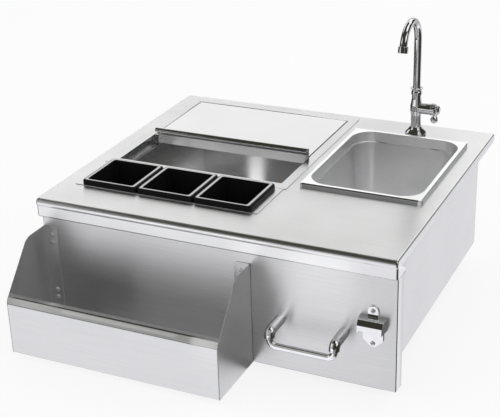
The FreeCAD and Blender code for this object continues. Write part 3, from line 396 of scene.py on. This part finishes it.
def softened(node, slot, radius, angle, material=None, segments=3):
    """A turned, cast or moulded node with all its sharp edges rounded."""
    shape = merged(node)
    edges = [edge for edge in shape.edges
             if len(edge.link_faces) == 2 and edge.calc_face_angle(0) > math.radians(angle)]
    bmesh.ops.bevel(shape, geom=edges, offset=radius, offset_type="OFFSET", segments=segments,
                    profile=0.5, affect="EDGES", material=-1, clamp_overlap=True)
    return finish_piece(shape, node + "_soft", node, slot, material)


def add_sink():
    """The sink bowl with a rounded, polished hem round its rim."""
    node = "sink_bowl"
    shape = merged(node)
    low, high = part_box(node)

    def outer_sides(vert):
        return [axis for axis in (0, 1)
                if min(vert.co[axis] - low[axis], high[axis] - vert.co[axis]) < near]

    hem = []
    for edge in sharp_edges(shape, True):
        sides = [outer_sides(vert) for vert in edge.verts]
        level = min(vert.co.z for vert in edge.verts) > high[2] - near
        if all(sides) and (level or all(len(side) == 2 for side in sides)):
            hem.append(edge)
    round_edges(shape, hem, hem_radius, 5)
    for face in shape.faces:
        if all(outer_sides(vert) for vert in face.verts):
            face.material_index = 1
    round_edges(shape, sharp_edges(shape, True) + sharp_edges(shape, False), thick_rim_radius, 2,
                clamp=True, polished=False)
    piece = finish_piece(shape, "sink_bowl_drawn", node, "satin_steel", "bowl_steel_painted_light")
    piece.data.materials.append(materials["edge_steel"])
    return piece


def separate_boxes(node):
    """The lowest and highest corners of each separate solid of a CAD node."""
    shape = merged(node)
    left = dict.fromkeys(shape.verts)
    boxes = []
    while left:
        group = [left.popitem()[0]]
        for vert in group:
            for edge in vert.link_edges:
                other = edge.other_vert(vert)
                if other in left:
                    del left[other]
                    group.append(other)
        boxes.append([Vector([pick(vert.co[axis] for vert in group) for axis in range(3)])
                      for pick in (min, max)])
    shape.free()
    return boxes


# Pieces

screw_dome = 2.8 * mm
screw_recess = 1.2 * mm
screw_head = 2.4 * mm
screw_profile = ((3.9, 2.0), (4.45, 1.4), (4.6, 0.8), (4.6, 0.0), (2.4, 0.0), (2.4, -8.4), (1.8, -9.0))


def screw(shape):
    """One pan-head screw with a crossed recess, its head towards -Y and its seat at the origin."""
    start = len(shape.verts)
    bmesh.ops.create_grid(shape, x_segments=5, y_segments=5, size=screw_dome)
    shape.verts.ensure_lookup_table()
    fresh = shape.verts[start:]
    cell = screw_dome * 2 / 5
    arms = []
    for face in dict.fromkeys(face for vert in fresh for face in vert.link_faces):
        across, along = sorted(abs(value) for value in face.calc_center_median().xy)
        if across < cell / 2 and along < cell * 1.5:
            arms.append(face)
    ring = list(dict.fromkeys(edge for vert in fresh for edge in vert.link_edges
                              if edge.is_boundary))
    for vert in {vert for edge in ring for vert in edge.verts}:
        vert.co = vert.co.normalized() * screw_dome
    bmesh.ops.translate(shape, verts=fresh, vec=(0, 0, screw_head))
    sunk = bmesh.ops.extrude_face_region(shape, geom=arms)["geom"]
    sunk = [item for item in sunk if isinstance(item, bmesh.types.BMVert)]
    bmesh.ops.scale(shape, verts=sunk, vec=(0.6, 0.6, 1))
    bmesh.ops.translate(shape, verts=sunk, vec=(0, 0, -screw_recess))
    for radius, level in screw_profile:
        grown = bmesh.ops.extrude_edge_only(shape, edges=ring)["geom"]
        ring = [item for item in grown if isinstance(item, bmesh.types.BMEdge)]
        for vert in {vert for edge in ring for vert in edge.verts}:
            direction = Vector((vert.co.x, vert.co.y, 0)).normalized()
            vert.co = direction * radius * mm + Vector((0, 0, level * mm))
    bmesh.ops.contextual_create(shape, geom=ring)
    shape.verts.ensure_lookup_table()
    whole = shape.verts[start:]
    bmesh.ops.rotate(shape, verts=whole, cent=(0, 0, 0), matrix=Matrix.Rotation(math.pi / 2, 3, "X"))
    return whole


def add_screws(node, slot, turn):
    """Screws where the node has them, each turned a little further than the one before."""
    shape = bmesh.new()
    for number, (low, high) in enumerate(separate_boxes(node)):
        whole = screw(shape)
        middle = (low + high) / 2
        spun = Matrix.Rotation(turn * (number + 1), 3, "Y")
        bmesh.ops.rotate(shape, verts=whole, cent=(0, 0, 0), matrix=spun)
        bmesh.ops.translate(shape, verts=whole, vec=(middle.x, low.y + screw_head, middle.z))
    bmesh.ops.recalc_face_normals(shape, faces=shape.faces)
    return finish_piece(shape, node + "_crossed", node, slot)


def add_insert(number):
    """A condiment pan whose rim's inner flat is painted pale grey: a painted highlight."""
    node = "condiment_insert_" + str(number)
    shape = merged(node)
    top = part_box(node)[1][2]
    rim = [edge for edge in shape.edges if len(edge.link_faces) == 2
           and edge.calc_face_angle(0) > sharp]
    bmesh.ops.bevel(shape, geom=rim, offset=0.5 * mm, offset_type="OFFSET", segments=2, profile=0.5,
                    affect="EDGES", material=-1, clamp_overlap=True)
    # The rim's flat top takes the pale grey of a painted highlight.
    for face in shape.faces:
        if face.normal.z > 0.998 and face.calc_center_median().z > top - 0.1 * mm:
            face.material_index = 1
    piece = finish_piece(shape, node + "_pan", node, "black_plastic")
    piece.data.materials.append(materials["rim_painted_highlight"])
    return piece


def add_pieces():
    folded("countertop", "brushed_steel", outer=3.6 * mm, extra=at_side)
    folded("front_panel", "brushed_steel", "panel_steel")
    folded("side_panel_left", "brushed_steel", "side_steel_painted_shade")
    folded("side_panel_right", "brushed_steel", "side_steel_painted_shade")
    folded("back_panel", "brushed_steel")
    folded("divider_panel", "brushed_steel", "side_steel_painted_shade")
    folded("bottom_panel", "brushed_steel")
    folded("bin_liner", "bright_steel", rim=0.55 * mm)
    folded("bin_jacket", "brushed_steel")
    folded("lid_panel", "lid_steel")
    folded("lid_front", "lid_steel")
    folded("condiment_holder", "brushed_steel", rim=thick_rim_radius)
    folded("rail_trough", "brushed_steel", "rail_steel_painted_shade", rim=thick_rim_radius)
    folded("rail_end_left", "brushed_steel", "side_steel_painted_shade", rim=thick_rim_radius)
    folded("rail_end_right", "brushed_steel", "side_steel_painted_shade", rim=thick_rim_radius)
    folded("sink_clips", "brushed_steel")
    add_sink()
    for number in (1, 2, 3):
        add_insert(number)
    add_screws("rail_screws", "satin_steel", 0.7)
    add_screws("opener_screws", "satin_steel", 0.4)
    softened("bottle_opener", "chrome", 1.0 * mm, 20)
    softened("towel_bar", "chrome", 1.5 * mm, 25)
    softened("tap_base", "chrome", 1.2 * mm, 14)
    softened("tap_body", "chrome", 1.2 * mm, 14)
    softened("tap_collar", "chrome", 0.6 * mm, 14)
    softened("spout_aerator", "chrome", 0.8 * mm, 30)
    softened("valve_cap", "chrome", 0.5 * mm, 30)
    softened("valve_hub", "chrome", 0.8 * mm, 14)
    softened("valve_lever", "chrome", 0.8 * mm, 30)
    softened("strainer_basket", "satin_steel", 0.3 * mm, 30)


def dress_nodes():
    """Gives each carried-over CAD node the finish of its slot."""
    for node in frame["nodes"].values():
        for slot in node.material_slots:
            name = slot.material.name.split(".")[0] if slot.material else ""
            if name in materials:
                slot.material = materials[name]


# Surroundings

dark_studio = (0.04, 0.04, 0.030, 1)
white_wall = (1.25, 1.25, 1.25, 1)
pale_floor = (1.02, 1.02, 1.06, 1)
floor_half = 14.0


def smooth_band(tree, value, low, high):
    """0 below low, 1 above high and a smooth step between; high may be the smaller."""
    values = {"Value": value, "From Min": low, "From Max": high}
    return add_node(tree, "ShaderNodeMapRange", values, interpolation_type="SMOOTHSTEP",
                    clamp=True).outputs["Result"]


def toward(tree, direction, aim, wide, narrow):
    """A soft round patch of the surroundings about the direction aim; wide and narrow in degrees."""
    unit = Vector(aim).normalized()
    dot = add_node(tree, "ShaderNodeVectorMath", {0: direction, 1: unit},
                   operation="DOT_PRODUCT").outputs["Value"]
    return smooth_band(tree, dot, math.cos(math.radians(wide)), math.cos(math.radians(narrow)))


def add_world():
    """White for the camera; a dark studio with a white wall and a pale floor in reflections."""
    world = bpy.data.worlds.new("studio")
    world.use_nodes = True
    bpy.context.scene.world = world
    tree = world.node_tree
    tree.nodes.clear()
    direction = add_node(tree, "ShaderNodeTexCoord").outputs["Generated"]
    height = add_node(tree, "ShaderNodeSeparateXYZ", {0: direction}).outputs
    wall = math_node(tree, "MULTIPLY", smooth_band(tree, height["Z"], 0.70, 0.62),
                     smooth_band(tree, height["Y"], 0.0, 0.25))
    wall = math_node(tree, "MULTIPLY", wall, smooth_band(tree, height["X"], 0.28, 0.08))
    colour = mixed(tree, wall, dark_studio, white_wall)
    colour = mixed(tree, smooth_band(tree, height["Z"], 0.15, 0.05), colour, pale_floor)
    shade = toward(tree, direction, (0.5, -0.80, -0.30), 50, 20)
    colour = mixed(tree, math_node(tree, "MULTIPLY", shade, 0.75), colour, dark_studio)
    for aim in ((1, -0.05, -0.35), (-1, 0.25, -0.35)):
        colour = mixed(tree, toward(tree, direction, aim, 47, 36), colour, dark_studio)
    lamp = toward(tree, direction, (0.35, 0.1, 0.93), 22, 14)
    colour = mixed(tree, lamp, colour, (1.2, 1.2, 1.2, 1))
    path = add_node(tree, "ShaderNodeLightPath")
    deep = smooth_band(tree, path.outputs["Glossy Depth"], 1.4, 1.6)
    upward = smooth_band(tree, height["Z"], 0.50, 0.62)
    colour = mixed(tree, math_node(tree, "MULTIPLY", deep, upward), colour, (0.50, 0.50, 0.52, 1))
    ahead = math_node(tree, "MULTIPLY", smooth_band(tree, height["Y"], -0.45, -0.65),
                      smooth_band(tree, height["Z"], 0.22, 0.32))
    ahead = math_node(tree, "MULTIPLY", ahead, smooth_band(tree, height["X"], -0.18, 0.0))
    colour = mixed(tree, math_node(tree, "MULTIPLY", deep, ahead), colour, (1.05, 1.05, 1.05, 1))
    colour = mixed(tree, path.outputs["Is Diffuse Ray"], colour, (0.85, 0.85, 0.85, 1))
    shown = mixed(tree, path.outputs["Is Camera Ray"], colour, (1, 1, 1, 1))
    background = add_node(tree, "ShaderNodeBackground", {"Color": shown, "Strength": 1.0})
    output = add_node(tree, "ShaderNodeOutputWorld")
    tree.links.new(background.outputs[0], output.inputs["Surface"])


def add_floor():
    shape = bmesh.new()
    bmesh.ops.create_grid(shape, x_segments=1, y_segments=1, size=floor_half)
    bmesh.ops.translate(shape, verts=shape.verts, vec=(0, 0, cad_bounds[0][2] - 0.5 * mm))
    mesh = bpy.data.meshes.new("floor")
    shape.to_mesh(mesh)
    shape.free()
    floor = bpy.data.objects.new("floor", mesh)
    bpy.context.scene.collection.objects.link(floor)
    material, tree, shader, place = start_material("floor_paint")
    noise = add_node(tree, "ShaderNodeTexNoise", {"Vector": place, "Scale": 3.0})
    colour = mixed(tree, noise.outputs["Fac"], grey(0.86), grey(0.89))
    tree.links.new(colour, shader.inputs["Base Color"])
    shader.inputs["Roughness"].default_value = 0.9
    shader.inputs["Specular IOR Level"].default_value = 0.1
    path = add_node(tree, "ShaderNodeLightPath")
    lit = math_node(tree, "MULTIPLY", path.outputs["Is Camera Ray"], 0.85)
    glow = add_node(tree, "ShaderNodeEmission", {"Color": (1, 1, 1, 1), "Strength": 1.0})
    blend = add_node(tree, "ShaderNodeMixShader", {0: lit, 1: shader.outputs[0],
                                                   2: glow.outputs[0]})
    tree.links.new(blend.outputs[0], tree.nodes["Material Output"].inputs["Surface"])
    mesh.materials.append(material)
    floor.visible_glossy = False


def add_lamp(name, place, aim, size, energy, along=None):
    """A soft lamp at place that shines towards aim; along is the way that its second side runs."""
    data = bpy.data.lights.new(name, "AREA")
    data.shape = "RECTANGLE"
    data.size, data.size_y = size
    data.energy = energy
    lamp = bpy.data.objects.new(name, data)
    bpy.context.scene.collection.objects.link(lamp)
    lamp.location = place
    back = (Vector(place) - Vector(aim)).normalized()
    if along:
        upright = Vector(along).normalized()
        turned = Matrix((upright.cross(back), upright, back)).transposed()
        lamp.rotation_euler = turned.to_euler()
    else:
        lamp.rotation_euler = (-back).to_track_quat("-Z", "Y").to_euler()
    lamp.visible_camera = False
    return lamp


def add_shade_card():
    """A dark card under the cabinet, which only reflections see, like the shadow there."""
    shape = bmesh.new()
    bmesh.ops.create_grid(shape, x_segments=1, y_segments=1, size=0.5)
    bmesh.ops.scale(shape, verts=shape.verts, vec=(0.70, 0.30, 1))
    bmesh.ops.translate(shape, verts=shape.verts, vec=(0, -0.20, cad_bounds[0][2] - 0.4 * mm))
    mesh = bpy.data.meshes.new("shade_card")
    shape.to_mesh(mesh)
    shape.free()
    card = bpy.data.objects.new("shade_card", mesh)
    bpy.context.scene.collection.objects.link(card)
    material, tree, shader, place = start_material("card_paint")
    shader.inputs["Base Color"].default_value = grey(0.02)
    shader.inputs["Emission Color"].default_value = grey(0.17)
    shader.inputs["Emission Strength"].default_value = 1.0
    mesh.materials.append(material)
    card.visible_camera = card.visible_diffuse = card.visible_shadow = False


def add_lamps():
    add_lamp("softbox_back", (0.6, 1.8, 2.2), (0, 0, 0), (2.0, 1.2), 8)
    add_lamp("softbox_right", (2.4, -0.6, 1.6), (0, 0, 0), (1.6, 1.2), 6)
    add_lamp("softbox_left", (-2.2, -1.4, 1.4), (0, 0, 0), (1.6, 1.2), 4)
    add_lamp("tub_front_glow", (-0.168, -0.0985, -0.055), (-0.168, 0.3, -0.055), (0.30, 0.05), 0.026)
    add_lamp("tub_side_glow", (-0.317, -0.055, -0.040), (0, -0.055, -0.040), (0.08, 0.04), 0.003)
    add_lamp("bar_glow", (0.125, -0.52, -0.11), (0.125, -0.42, -0.21), (0.24, 0.22), 0.06)
    add_lamp("lip_glow", (-0.235, -0.62, -0.045), (-0.235, 0, -0.045), (0.50, 0.08), 0.075)
    add_lamp("rail_glow", (-0.13, -0.487, -0.19), (-0.13, 0, -0.19), (0.25, 0.10), 0.012)
    add_lamp("tub_floor_glow", (-0.257, 0.089, -0.2015), (-0.257, 0.089, 0), (0.036, 0.28), 0.042,
             along=(0.434, 0.901, 0))


add_camera()
add_world()
add_floor()
add_lamps()
add_shade_card()
dress_nodes()
add_pieces()

bpy.context.scene.view_settings.view_transform = "Standard"
